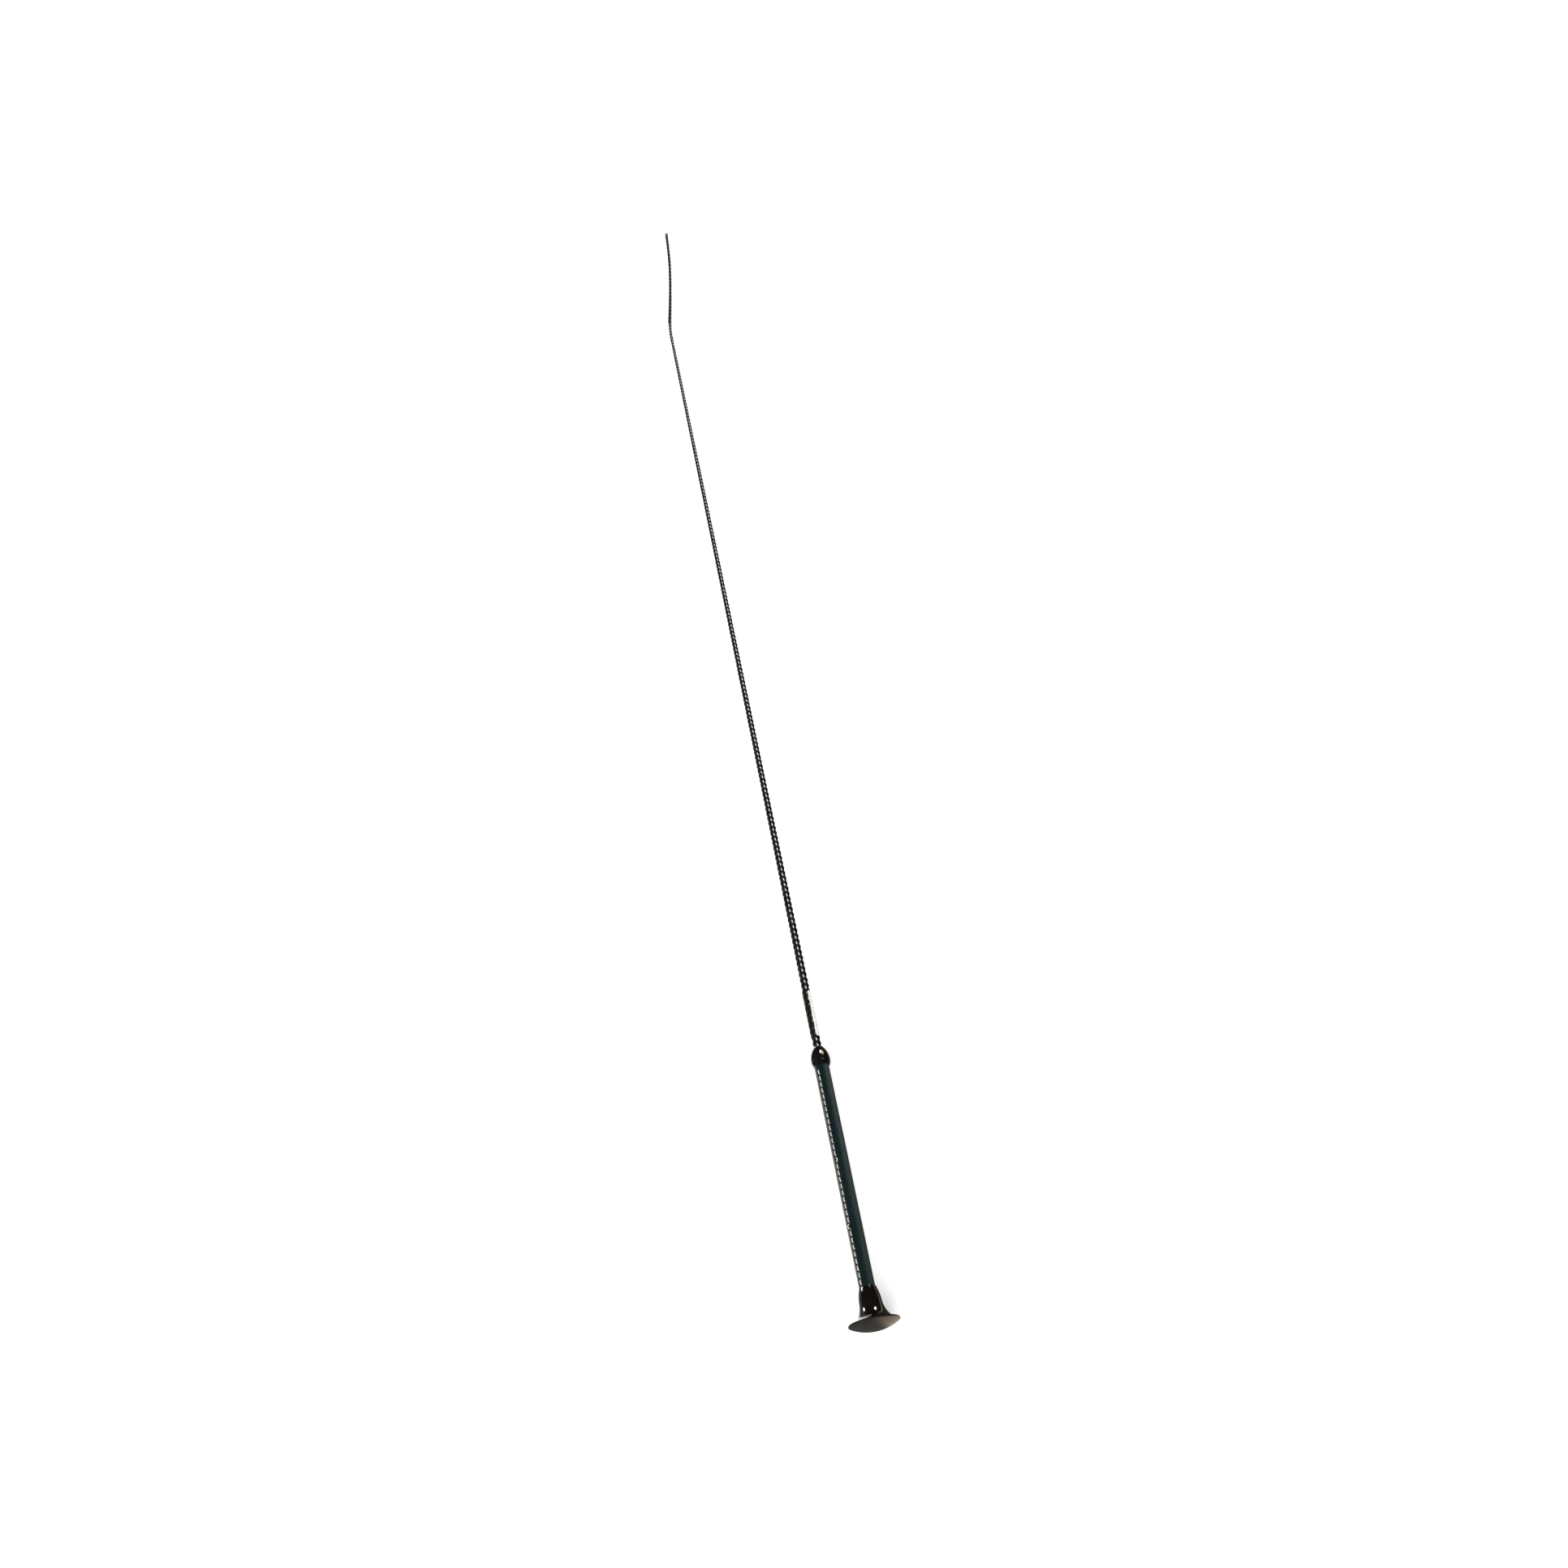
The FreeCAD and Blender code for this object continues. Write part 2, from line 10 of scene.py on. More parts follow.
import bpy
from mathutils import Matrix, Vector, noise
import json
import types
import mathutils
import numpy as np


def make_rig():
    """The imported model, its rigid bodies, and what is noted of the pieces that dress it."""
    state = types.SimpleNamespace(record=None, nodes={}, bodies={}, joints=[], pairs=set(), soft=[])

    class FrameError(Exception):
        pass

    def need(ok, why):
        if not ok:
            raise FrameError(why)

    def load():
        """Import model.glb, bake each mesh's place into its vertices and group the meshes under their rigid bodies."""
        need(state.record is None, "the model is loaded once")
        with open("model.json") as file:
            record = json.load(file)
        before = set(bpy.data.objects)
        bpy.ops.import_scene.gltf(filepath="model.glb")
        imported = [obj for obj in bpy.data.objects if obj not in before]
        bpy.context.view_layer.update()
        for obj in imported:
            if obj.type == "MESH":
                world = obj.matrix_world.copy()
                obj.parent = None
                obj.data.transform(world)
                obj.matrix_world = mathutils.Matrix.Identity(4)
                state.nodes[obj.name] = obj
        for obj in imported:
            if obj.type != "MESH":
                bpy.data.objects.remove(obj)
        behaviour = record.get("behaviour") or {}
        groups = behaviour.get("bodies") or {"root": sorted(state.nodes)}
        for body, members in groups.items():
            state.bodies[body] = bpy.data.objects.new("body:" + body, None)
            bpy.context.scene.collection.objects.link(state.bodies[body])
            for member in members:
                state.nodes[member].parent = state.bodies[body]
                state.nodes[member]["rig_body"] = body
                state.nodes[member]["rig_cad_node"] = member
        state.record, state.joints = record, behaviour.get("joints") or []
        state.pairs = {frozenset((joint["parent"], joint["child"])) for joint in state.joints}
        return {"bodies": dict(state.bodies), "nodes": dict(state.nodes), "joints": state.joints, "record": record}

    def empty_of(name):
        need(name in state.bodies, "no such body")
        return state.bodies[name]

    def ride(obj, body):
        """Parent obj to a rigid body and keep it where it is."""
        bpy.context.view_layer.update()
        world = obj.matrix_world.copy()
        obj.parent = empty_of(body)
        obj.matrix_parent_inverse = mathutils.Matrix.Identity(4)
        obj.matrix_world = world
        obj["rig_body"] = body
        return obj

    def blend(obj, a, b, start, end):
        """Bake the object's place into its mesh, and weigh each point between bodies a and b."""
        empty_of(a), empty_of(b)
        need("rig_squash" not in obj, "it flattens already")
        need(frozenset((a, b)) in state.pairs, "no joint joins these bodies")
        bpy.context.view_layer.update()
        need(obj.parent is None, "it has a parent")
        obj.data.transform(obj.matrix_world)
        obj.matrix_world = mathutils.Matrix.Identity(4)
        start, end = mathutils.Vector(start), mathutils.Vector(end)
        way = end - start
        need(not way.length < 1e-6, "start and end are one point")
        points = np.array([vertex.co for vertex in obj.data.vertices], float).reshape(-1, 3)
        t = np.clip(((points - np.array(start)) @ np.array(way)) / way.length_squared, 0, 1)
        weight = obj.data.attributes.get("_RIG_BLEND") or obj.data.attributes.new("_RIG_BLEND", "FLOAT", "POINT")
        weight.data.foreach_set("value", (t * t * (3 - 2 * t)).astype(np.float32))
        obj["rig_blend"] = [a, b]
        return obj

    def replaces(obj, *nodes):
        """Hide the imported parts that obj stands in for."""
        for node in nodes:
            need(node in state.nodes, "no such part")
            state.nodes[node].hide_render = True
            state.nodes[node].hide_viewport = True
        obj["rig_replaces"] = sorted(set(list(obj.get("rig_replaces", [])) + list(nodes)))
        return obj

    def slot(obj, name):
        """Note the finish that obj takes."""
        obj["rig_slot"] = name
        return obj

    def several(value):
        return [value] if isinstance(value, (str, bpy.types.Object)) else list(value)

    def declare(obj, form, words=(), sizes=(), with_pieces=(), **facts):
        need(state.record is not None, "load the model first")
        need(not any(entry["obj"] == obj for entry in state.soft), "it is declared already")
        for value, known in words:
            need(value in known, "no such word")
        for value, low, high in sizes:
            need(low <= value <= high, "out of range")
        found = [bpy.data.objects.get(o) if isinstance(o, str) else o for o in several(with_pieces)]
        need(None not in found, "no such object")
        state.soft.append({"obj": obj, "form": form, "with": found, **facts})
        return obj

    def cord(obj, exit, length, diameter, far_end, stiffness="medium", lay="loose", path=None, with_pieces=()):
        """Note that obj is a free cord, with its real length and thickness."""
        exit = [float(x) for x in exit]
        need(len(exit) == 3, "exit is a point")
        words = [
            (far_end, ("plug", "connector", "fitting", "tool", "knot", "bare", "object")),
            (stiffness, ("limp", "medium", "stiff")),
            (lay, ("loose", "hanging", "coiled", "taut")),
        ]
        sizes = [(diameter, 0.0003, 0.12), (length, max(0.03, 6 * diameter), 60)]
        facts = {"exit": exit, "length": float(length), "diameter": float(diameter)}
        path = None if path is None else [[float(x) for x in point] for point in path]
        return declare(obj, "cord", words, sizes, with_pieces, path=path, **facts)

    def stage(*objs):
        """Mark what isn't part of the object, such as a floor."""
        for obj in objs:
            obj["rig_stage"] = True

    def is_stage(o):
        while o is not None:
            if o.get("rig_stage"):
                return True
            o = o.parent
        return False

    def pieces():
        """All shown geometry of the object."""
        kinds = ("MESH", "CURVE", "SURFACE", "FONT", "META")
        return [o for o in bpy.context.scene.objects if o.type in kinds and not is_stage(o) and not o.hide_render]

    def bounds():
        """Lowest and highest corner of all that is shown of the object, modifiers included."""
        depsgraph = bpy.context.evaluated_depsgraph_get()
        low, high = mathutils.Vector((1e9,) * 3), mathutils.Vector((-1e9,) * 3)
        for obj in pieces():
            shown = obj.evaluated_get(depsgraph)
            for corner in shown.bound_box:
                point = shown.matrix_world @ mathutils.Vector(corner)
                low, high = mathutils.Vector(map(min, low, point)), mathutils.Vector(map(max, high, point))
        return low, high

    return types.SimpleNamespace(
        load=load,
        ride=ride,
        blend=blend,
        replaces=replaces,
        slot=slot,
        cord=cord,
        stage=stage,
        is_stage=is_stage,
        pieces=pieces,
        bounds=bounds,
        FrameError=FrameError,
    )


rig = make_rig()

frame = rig.load()
cad_low, cad_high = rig.bounds()

MM = 0.001
TURN = 2 * math.pi

# Braid: two flat strands wound each way, one over one, with one crown a pitch down the middle.
STRANDS_EACH_WAY = 2
SHAFT_LAY = 9.6 * MM
STRAND_FILL = 0.72
ROWS_PER_CROWN = 16
SECTION_SIDES = 10
THICKNESS_LEAST = 0.35 * MM
THICKNESS_SHARE = 0.10
WAVE_SHARE = 0.42
STRAND_UNEVEN = 0.06 * MM
STRAND_SUNK = 0.03 * MM
THREAD_DEPTH = 0.012 * MM
COVER_IN_FERRULE = 6.0 * MM
COVER_IN_BINDING = 3.0 * MM

# Tip binding
BINDING_TAPER = 7.0 * MM
BINDING_PROUD = 0.25 * MM
BINDING_TOP_PROUD = 0.3 * MM
BINDING_ROUNDING = 1.5 * MM
TIP_BEND = 1.6 * MM

# Grip
LEATHER_RADIUS_BUTT = 5.7 * MM
LEATHER_RADIUS_TOP = 5.55 * MM
LEATHER_THICKNESS = 0.9 * MM
LAP_EDGE = 1.5 * MM
LAP_WIDTH = 8.0 * MM
LAP_RISE = 0.35 * MM
CHANNEL_HALF = 0.6 * MM
CHANNEL_DEPTH = 0.3 * MM
SEAM_ANGLE_BUTT = math.radians(-41.0)
SEAM_ANGLE_TOP = math.radians(-33.5)
STITCH_PITCH = 4.75 * MM
STITCH_LENGTH = 3.9 * MM
STITCH_MARGIN = 1.0 * MM
STITCH_ROWS = 15
THREAD_RADIUS = 0.42 * MM
# Two loose stitches, by number from the butt: how far their middle strays round the grip.
LOOSE_STITCHES = {8: -1.4 * MM, 18: 0.9 * MM}

# Lash: its route from the hinge, with the middle of the cord above the surface.
LASH_RADIUS = 1.45 * MM
LASH_ROUTE = [
    (0.0066, 0.033, 0.0018),
    (0.0116, 0.070, 0.00145),
    (0.0158, 0.108, 0.00145),
    (0.0178, 0.146, 0.00145),
]
LASH_LAY = 12.0 * MM
LASH_TURN = math.radians(90)
LASH_CROWNS = 0.12 * MM
LASH_ROOT_SWELL = 0.25 * MM
LASH_ROOT_FADES = 60.0 * MM
LASH_IN_BINDING = 2.5 * MM
BEND_BEFORE_HINGE = 2.0 * MM
BEND_AFTER_HINGE = 14.0 * MM

# Sleeve
SLEEVE_PROUD = 0.33 * MM
FILM_THICKNESS = 0.14 * MM

# Camera
CAMERA_PLACE = Vector((-0.0860, -0.6911, 0.9898))
CAMERA_TARGET = Vector((0.0183, -0.0763, 0.0))
CAMERA_LENS = 31.5
CAMERA_ROLL = math.radians(-0.74)


# ---------------------------------------------------------------- the whip's own axis

grip_mount = next(m for m in frame["record"]["mounts"] if m["name"] == "hand_grip")
AXIS_POINT = Vector(grip_mount["pos_m"])
AXIS = Vector(grip_mount["axis"]).normalized()
UP = Vector((1, 0, 0)).cross(AXIS)
LAID_DOWN = Matrix(
    (
        (1, 0, 0, AXIS_POINT.x),
        (0, -UP.y, AXIS.y, AXIS_POINT.y),
        (0, -UP.z, AXIS.z, AXIS_POINT.z),
        (0, 0, 0, 1),
    )
)


def heights(node):
    """The lowest and highest height of a CAD node along the whip's axis."""
    found = [(v.co - AXIS_POINT).dot(AXIS) for v in frame["nodes"][node].data.vertices]
    return min(found), max(found)


def radius_near(node, height, reach):
    """The largest radius of a CAD node within this reach of a height."""
    largest = 0.0
    for v in frame["nodes"][node].data.vertices:
        offset = v.co - AXIS_POINT
        if abs(offset.dot(AXIS) - height) < reach:
            largest = max(largest, offset.cross(AXIS).length)
    return largest


def polar(radius, angle, height):
    """A point of the upright whip."""
    return Vector((radius * math.sin(angle), -radius * math.cos(angle), height))


def smooth_step(low, high, at):
    share = min(1.0, max(0.0, (at - low) / (high - low)))
    return share * share * (3 - 2 * share)


def between(points, at):
    """The value at a height on straight runs between (height, value) points."""
    for (h0, v0), (h1, v1) in zip(points, points[1:]):
        if at <= h1:
            share = max(0.0, (at - h0) / (h1 - h0))
            return v0 + (v1 - v0) * share
    return points[-1][1]


# ---------------------------------------------------------------- modelling helpers


def deselect():
    if bpy.context.object and bpy.context.object.mode != "OBJECT":
        bpy.ops.object.mode_set(mode="OBJECT")
    bpy.ops.object.select_all(action="DESELECT")


def only(obj):
    """Select this object alone and make it active."""
    deselect()
    obj.select_set(True)
    bpy.context.view_layer.objects.active = obj


def strip(name, around, along):
    """A flat grid to be rolled up or wound: x runs round it and y along it, both from 0 to 1."""
    deselect()
    bpy.ops.mesh.primitive_grid_add(x_subdivisions=around, y_subdivisions=along, size=1.0)
    made = bpy.context.object
    made.name = name
    for v in made.data.vertices:
        v.co.x += 0.5
        v.co.y += 0.5
    return made


def close_tube(obj, ends=True):
    """Merge the strip's long edges, close its ends and turn its faces outwards."""
    only(obj)
    bpy.ops.object.mode_set(mode="EDIT")
    bpy.ops.mesh.select_all(action="SELECT")
    bpy.ops.mesh.remove_doubles(threshold=1e-7)
    if ends:
        bpy.ops.mesh.select_all(action="DESELECT")
        bpy.ops.mesh.select_mode(type="EDGE")
        bpy.ops.mesh.select_non_manifold()
        bpy.ops.mesh.fill_holes(sides=0)
    bpy.ops.mesh.select_all(action="SELECT")
    bpy.ops.mesh.normals_make_consistent(inside=False)
    bpy.ops.object.mode_set(mode="OBJECT")
    bpy.ops.object.shade_smooth()


def lay_down(obj):
    """Put a piece that was shaped upright in its place on the whip, with its object at the origin."""
    only(obj)
    obj.matrix_world = LAID_DOWN
    bpy.ops.object.transform_apply(location=True, rotation=True, scale=True)


def joined(objects, name):
    deselect()
    for obj in objects:
        obj.select_set(True)
    bpy.context.view_layer.objects.active = objects[0]
    if len(objects) > 1:
        bpy.ops.object.join()
    made = bpy.context.object
    made.name = name
    return made


def apply(obj, kind, **settings):
    """Add a modifier with these settings and apply it."""
    only(obj)
    added = obj.modifiers.new(kind.title(), kind)
    for key, value in settings.items():
        setattr(added, key, value)
    bpy.ops.object.modifier_apply(modifier=added.name)


def finished(obj, material, slot, body, *nodes):
    """Give a piece its material, slot and body, and the CAD nodes that it stands for."""
    obj.data.materials.clear()
    obj.data.materials.append(material)
    if body:
        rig.ride(obj, body)
    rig.slot(obj, slot)
    if nodes:
        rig.replaces(obj, *nodes)
    return obj


# ---------------------------------------------------------------- material helpers


def new_material(name):
    material = bpy.data.materials.new(name)
    material.use_nodes = True
    nodes, links = material.node_tree.nodes, material.node_tree.links
    return material, nodes, links, nodes["Principled BSDF"]


def add(nodes, kind, **settings):
    made = nodes.new(kind)
    for key, value in settings.items():
        setattr(made, key, value)
    return made


def maths(nodes, links, operation, a, b=0.0):
    """A Math node, fed by sockets or by numbers."""
    made = add(nodes, "ShaderNodeMath", operation=operation)
    for i, value in enumerate((a, b)):
        if isinstance(value, (int, float)):
            made.inputs[i].default_value = value
        else:
            links.new(value, made.inputs[i])
    return made.outputs[0]


def colour_mix(nodes, links, factor, low, high):
    """A colour between two colours or sockets."""
    made = add(nodes, "ShaderNodeMix", data_type="RGBA")
    for i, value in ((0, factor), (6, low), (7, high)):
        if hasattr(value, "is_linked"):
            links.new(value, made.inputs[i])
        else:
            made.inputs[i].default_value = value
    return made.outputs[2]


def spread(nodes, links, value, low, high, to_low=0.0, to_high=1.0):
    """A value brought from one range to another, and kept in it."""
    made = add(nodes, "ShaderNodeMapRange", clamp=True)
    links.new(value, made.inputs["Value"])
    made.inputs["From Min"].default_value = low
    made.inputs["From Max"].default_value = high
    made.inputs["To Min"].default_value = to_low
    made.inputs["To Max"].default_value = to_high
    return made.outputs["Result"]


def new_group(name, inputs, outputs):
    group = bpy.data.node_groups.new(name, "ShaderNodeTree")
    for label, kind, default in inputs:
        made = group.interface.new_socket(name=label, in_out="INPUT", socket_type=kind)
        if default is not None:
            made.default_value = default
    for label, kind in outputs:
        group.interface.new_socket(name=label, in_out="OUTPUT", socket_type=kind)
    return group, group.nodes.new("NodeGroupInput"), group.nodes.new("NodeGroupOutput")


def thread_lines():
    """Fine threads that run along a strand. U goes round the strand's section and V along it. The second output is the
    thread height brought to 0 to 1, so a colour drawn from it is painted shade in the grooves between threads, with
    random tone from the lumps.
    """
    group, given, result = new_group(
        "thread_lines",
        [
            ("Vector", "NodeSocketVector", None),
            ("Threads", "NodeSocketFloat", 20.0),
            ("Twist", "NodeSocketFloat", 0.0),
            ("Length", "NodeSocketFloat", 100.0),
        ],
        [("Height", "NodeSocketFloat"), ("Shade", "NodeSocketFloat")],
    )
    nodes, links = group.nodes, group.links
    parts = add(nodes, "ShaderNodeSeparateXYZ")
    links.new(given.outputs["Vector"], parts.inputs[0])
    across = maths(nodes, links, "MULTIPLY", parts.outputs[0], given.outputs["Threads"])
    along = maths(nodes, links, "MULTIPLY", parts.outputs[1], given.outputs["Twist"])
    phase = maths(nodes, links, "ADD", across, along)
    wave = maths(nodes, links, "SINE", maths(nodes, links, "MULTIPLY", phase, TURN))
    joined_up = add(nodes, "ShaderNodeCombineXYZ")
    links.new(phase, joined_up.inputs[0])
    links.new(maths(nodes, links, "MULTIPLY", parts.outputs[1], given.outputs["Length"]), joined_up.inputs[1])
    uneven = add(nodes, "ShaderNodeTexNoise")
    uneven.inputs["Scale"].default_value = 1.0
    uneven.inputs["Detail"].default_value = 3.0
    links.new(joined_up.outputs[0], uneven.inputs["Vector"])
    lumps = spread(nodes, links, uneven.outputs[0], 0.3, 0.7, -0.6, 0.6)
    height = maths(nodes, links, "ADD", maths(nodes, links, "MULTIPLY", wave, 0.5), lumps)
    links.new(height, result.inputs["Height"])
    # painted shade: this output is low in the grooves between threads and high on their crests, with random lumps
    links.new(spread(nodes, links, height, -0.9, 0.9), result.inputs["Shade"])
    return group


def surface_wear():
    """Faint scratches and dust, larger than grain, from the object's own place."""
    group, given, result = new_group(
        "surface_wear",
        [("Vector", "NodeSocketVector", None), ("Scale", "NodeSocketFloat", 100.0)],
        [("Dust", "NodeSocketFloat"), ("Scratches", "NodeSocketFloat")],
    )
    nodes, links = group.nodes, group.links
    cloud = add(nodes, "ShaderNodeTexNoise")
    cloud.inputs["Detail"].default_value = 5.0
    links.new(given.outputs["Vector"], cloud.inputs["Vector"])
    links.new(given.outputs["Scale"], cloud.inputs["Scale"])
    links.new(spread(nodes, links, cloud.outputs[0], 0.4, 0.75), result.inputs["Dust"])
    drawn_out = add(nodes, "ShaderNodeMapping")
    drawn_out.inputs["Rotation"].default_value = (0.3, 0.5, 0.9)
    drawn_out.inputs["Scale"].default_value = (14.0, 0.6, 6.0)
    links.new(given.outputs["Vector"], drawn_out.inputs["Vector"])
    lines = add(nodes, "ShaderNodeTexNoise")
    lines.inputs["Detail"].default_value = 2.0
    links.new(drawn_out.outputs[0], lines.inputs["Vector"])
    links.new(given.outputs["Scale"], lines.inputs["Scale"])
    links.new(spread(nodes, links, lines.outputs[0], 0.62, 0.74), result.inputs["Scratches"])
    return group


def place_group(nodes, links, group, vector, **values):
    made = nodes.new("ShaderNodeGroup")
    made.node_tree = group
    links.new(vector, made.inputs["Vector"])
    for key, value in values.items():
        made.inputs[key].default_value = value
    return made


def bumped(nodes, links, shader, height, distance):
    bump = add(nodes, "ShaderNodeBump")
    bump.inputs["Strength"].default_value = 1.0
    bump.inputs["Distance"].default_value = distance
    links.new(height, bump.inputs["Height"])
    links.new(bump.outputs[0], shader.inputs["Normal"])


def object_place(nodes):
    return add(nodes, "ShaderNodeTexCoord").outputs["Object"]


def own_uv(nodes):
    return add(nodes, "ShaderNodeUVMap", uv_map="UVMap").outputs[0]


# ---------------------------------------------------------------- materials


def braid_material(name, threads, length, low, high, roughness):
    """Waxed strands: threads along them, with painted shade in the grooves between threads and random tone, plus dust
    and a soft shine.
    """
    material, nodes, links, shader = new_material(name)
    lines = place_group(nodes, links, THREAD_LINES, own_uv(nodes), Threads=threads, Length=length)
    wear = place_group(nodes, links, SURFACE_WEAR, object_place(nodes), Scale=160.0)
    # painted shade: the strand colour is darker in the thread grooves and lighter on the thread crests
    body = colour_mix(nodes, links, lines.outputs["Shade"], low, high)
    dusty = tuple(min(1.0, c * 1.6 + 0.004) for c in high[:3]) + (1.0,)
    links.new(colour_mix(nodes, links, wear.outputs["Dust"], body, dusty), shader.inputs["Base Color"])
    rough = spread(nodes, links, lines.outputs["Shade"], 0.0, 1.0, roughness + 0.08, roughness - 0.05)
    links.new(rough, shader.inputs["Roughness"])
    bumped(nodes, links, shader, lines.outputs["Height"], THREAD_DEPTH)
    return material


def gloss_material(name, colour, rough):
    """Polished moulded plastic with hairline scratches and a little dust."""
    material, nodes, links, shader = new_material(name)
    wear = place_group(nodes, links, SURFACE_WEAR, object_place(nodes), Scale=90.0)
    dusty = tuple(c * 1.5 + 0.004 for c in colour[:3]) + (1.0,)
    links.new(colour_mix(nodes, links, wear.outputs["Dust"], colour, dusty), shader.inputs["Base Color"])
    haze = maths(nodes, links, "MULTIPLY", wear.outputs["Scratches"], 0.16)
    smear = maths(nodes, links, "MULTIPLY", wear.outputs["Dust"], 0.05)
    rough_here = maths(nodes, links, "ADD", maths(nodes, links, "ADD", haze, smear), rough)
    links.new(rough_here, shader.inputs["Roughness"])
    shader.inputs["Coat Weight"].default_value = 0.25
    shader.inputs["Coat Roughness"].default_value = 0.05
    return material


def satin_material(name, colour, warm, rough):
    """Satin plastic, paler and warmer in random patches, with a fine moulded grain."""
    material, nodes, links, shader = new_material(name)
    place = object_place(nodes)
    wear = place_group(nodes, links, SURFACE_WEAR, place, Scale=60.0)
    links.new(colour_mix(nodes, links, wear.outputs["Dust"], colour, warm), shader.inputs["Base Color"])
    rubbed = spread(nodes, links, wear.outputs["Dust"], 0.0, 1.0, rough - 0.04, rough + 0.08)
    links.new(rubbed, shader.inputs["Roughness"])
    grain = add(nodes, "ShaderNodeTexNoise")
    grain.inputs["Scale"].default_value = 2600.0
    grain.inputs["Detail"].default_value = 2.0
    links.new(place, grain.inputs["Vector"])
    bumped(nodes, links, shader, grain.outputs[0], 0.03 * MM)
    return material


def leather_material():
    """Dark green-teal leather: pebbled grain, fine creases darkened with painted shade, and a worn shine on its
    ridges.
    """
    material, nodes, links, shader = new_material("grip_leather_teal")
    place = object_place(nodes)
    drawn_out = add(nodes, "ShaderNodeMapping")
    drawn_out.inputs["Scale"].default_value = (1.0, 0.6, 1.0)
    links.new(place, drawn_out.inputs["Vector"])
    pebbles = add(nodes, "ShaderNodeTexVoronoi", feature="DISTANCE_TO_EDGE")
    pebbles.inputs["Scale"].default_value = 1500.0
    links.new(drawn_out.outputs[0], pebbles.inputs["Vector"])
    pebble_height = spread(nodes, links, pebbles.outputs[0], 0.0, 0.25)
    fine = add(nodes, "ShaderNodeTexNoise")
    fine.inputs["Scale"].default_value = 900.0
    fine.inputs["Detail"].default_value = 6.0
    links.new(drawn_out.outputs[0], fine.inputs["Vector"])
    patches = add(nodes, "ShaderNodeTexNoise")
    patches.inputs["Scale"].default_value = 55.0
    patches.inputs["Detail"].default_value = 4.0
    links.new(drawn_out.outputs[0], patches.inputs["Vector"])
    shade = spread(nodes, links, patches.outputs[0], 0.35, 0.7)
    dyed = colour_mix(nodes, links, shade, (0.006, 0.017, 0.020, 1), (0.011, 0.025, 0.028, 1))
    # painted shade: the colour darkens towards the edges of the pebbles, in the creases between them
    dye_with_crease_shade = colour_mix(nodes, links, pebble_height, (0.003, 0.009, 0.010, 1), dyed)
    links.new(dye_with_crease_shade, shader.inputs["Base Color"])
    height = maths(nodes, links, "ADD", pebble_height, maths(nodes, links, "MULTIPLY", fine.outputs[0], 0.7))
    links.new(spread(nodes, links, height, 0.2, 1.4, 0.62, 0.42), shader.inputs["Roughness"])
    shader.inputs["Specular IOR Level"].default_value = 0.4
    bumped(nodes, links, shader, height, 0.03 * MM)
    return material


def stitch_material():
    """Waxed two-ply thread, off-white and a little soiled, with painted shade in the groove between its plies."""
    material, nodes, links, shader = new_material("stitch_thread_white")
    lines = place_group(nodes, links, THREAD_LINES, own_uv(nodes), Threads=2.0, Twist=5.0, Length=9.0)
    wear = place_group(nodes, links, SURFACE_WEAR, object_place(nodes), Scale=220.0)
    # painted shade: the thread is darker where its plies dip and paler on their crests
    clean_with_ply_shade = colour_mix(nodes, links, lines.outputs["Shade"], (0.50, 0.47, 0.41, 1), (0.90, 0.88, 0.82, 1))
    soiled = colour_mix(nodes, links, wear.outputs["Dust"], clean_with_ply_shade, (0.55, 0.5, 0.42, 1))
    links.new(soiled, shader.inputs["Base Color"])
    shader.inputs["Roughness"].default_value = 0.5
    shader.inputs["Coat Weight"].default_value = 0.2
    bumped(nodes, links, shader, lines.outputs["Height"], 0.1 * MM)
    return material


def film_material():
    """Clear shrunk film: clearest face on, denser at its edges, glossy, with faint ripples."""
    material, nodes, links, shader = new_material("sleeve_clear_film")
    shader.inputs["Base Color"].default_value = (0.02, 0.019, 0.016, 1)
    shader.inputs["Specular IOR Level"].default_value = 0.9
    wear = place_group(nodes, links, SURFACE_WEAR, object_place(nodes), Scale=120.0)
    scuffed = spread(nodes, links, wear.outputs["Scratches"], 0.0, 1.0, 0.14, 0.3)
    links.new(scuffed, shader.inputs["Roughness"])
    edge = add(nodes, "ShaderNodeLayerWeight")
    edge.inputs["Blend"].default_value = 0.25
    clear = spread(nodes, links, edge.outputs["Facing"], 0.0, 1.0, 0.3, 0.75)
    links.new(clear, shader.inputs["Alpha"])
    ripples = add(nodes, "ShaderNodeTexNoise")
    ripples.inputs["Scale"].default_value = 240.0
    links.new(object_place(nodes), ripples.inputs["Vector"])
    bumped(nodes, links, shader, ripples.outputs[0], 0.03 * MM)
    return material


def plain_material(name, low, high, scale, rough, metallic):
    """A plain material with its own grain, for a piece that is hidden or very small."""
    material, nodes, links, shader = new_material(name)
    drawn_out = add(nodes, "ShaderNodeMapping")
    drawn_out.inputs["Scale"].default_value = (1.0, 0.08, 1.0)
    links.new(object_place(nodes), drawn_out.inputs["Vector"])
    grain = add(nodes, "ShaderNodeTexNoise")
    grain.inputs["Scale"].default_value = scale
    grain.inputs["Detail"].default_value = 4.0
    links.new(drawn_out.outputs[0], grain.inputs["Vector"])
    share = spread(nodes, links, grain.outputs[0], 0.3, 0.7)
    links.new(colour_mix(nodes, links, share, low, high), shader.inputs["Base Color"])
    links.new(spread(nodes, links, share, 0.0, 1.0, rough, rough + 0.12), shader.inputs["Roughness"])
    shader.inputs["Metallic"].default_value = metallic
    bumped(nodes, links, shader, grain.outputs[0], 0.02 * MM)
    return material


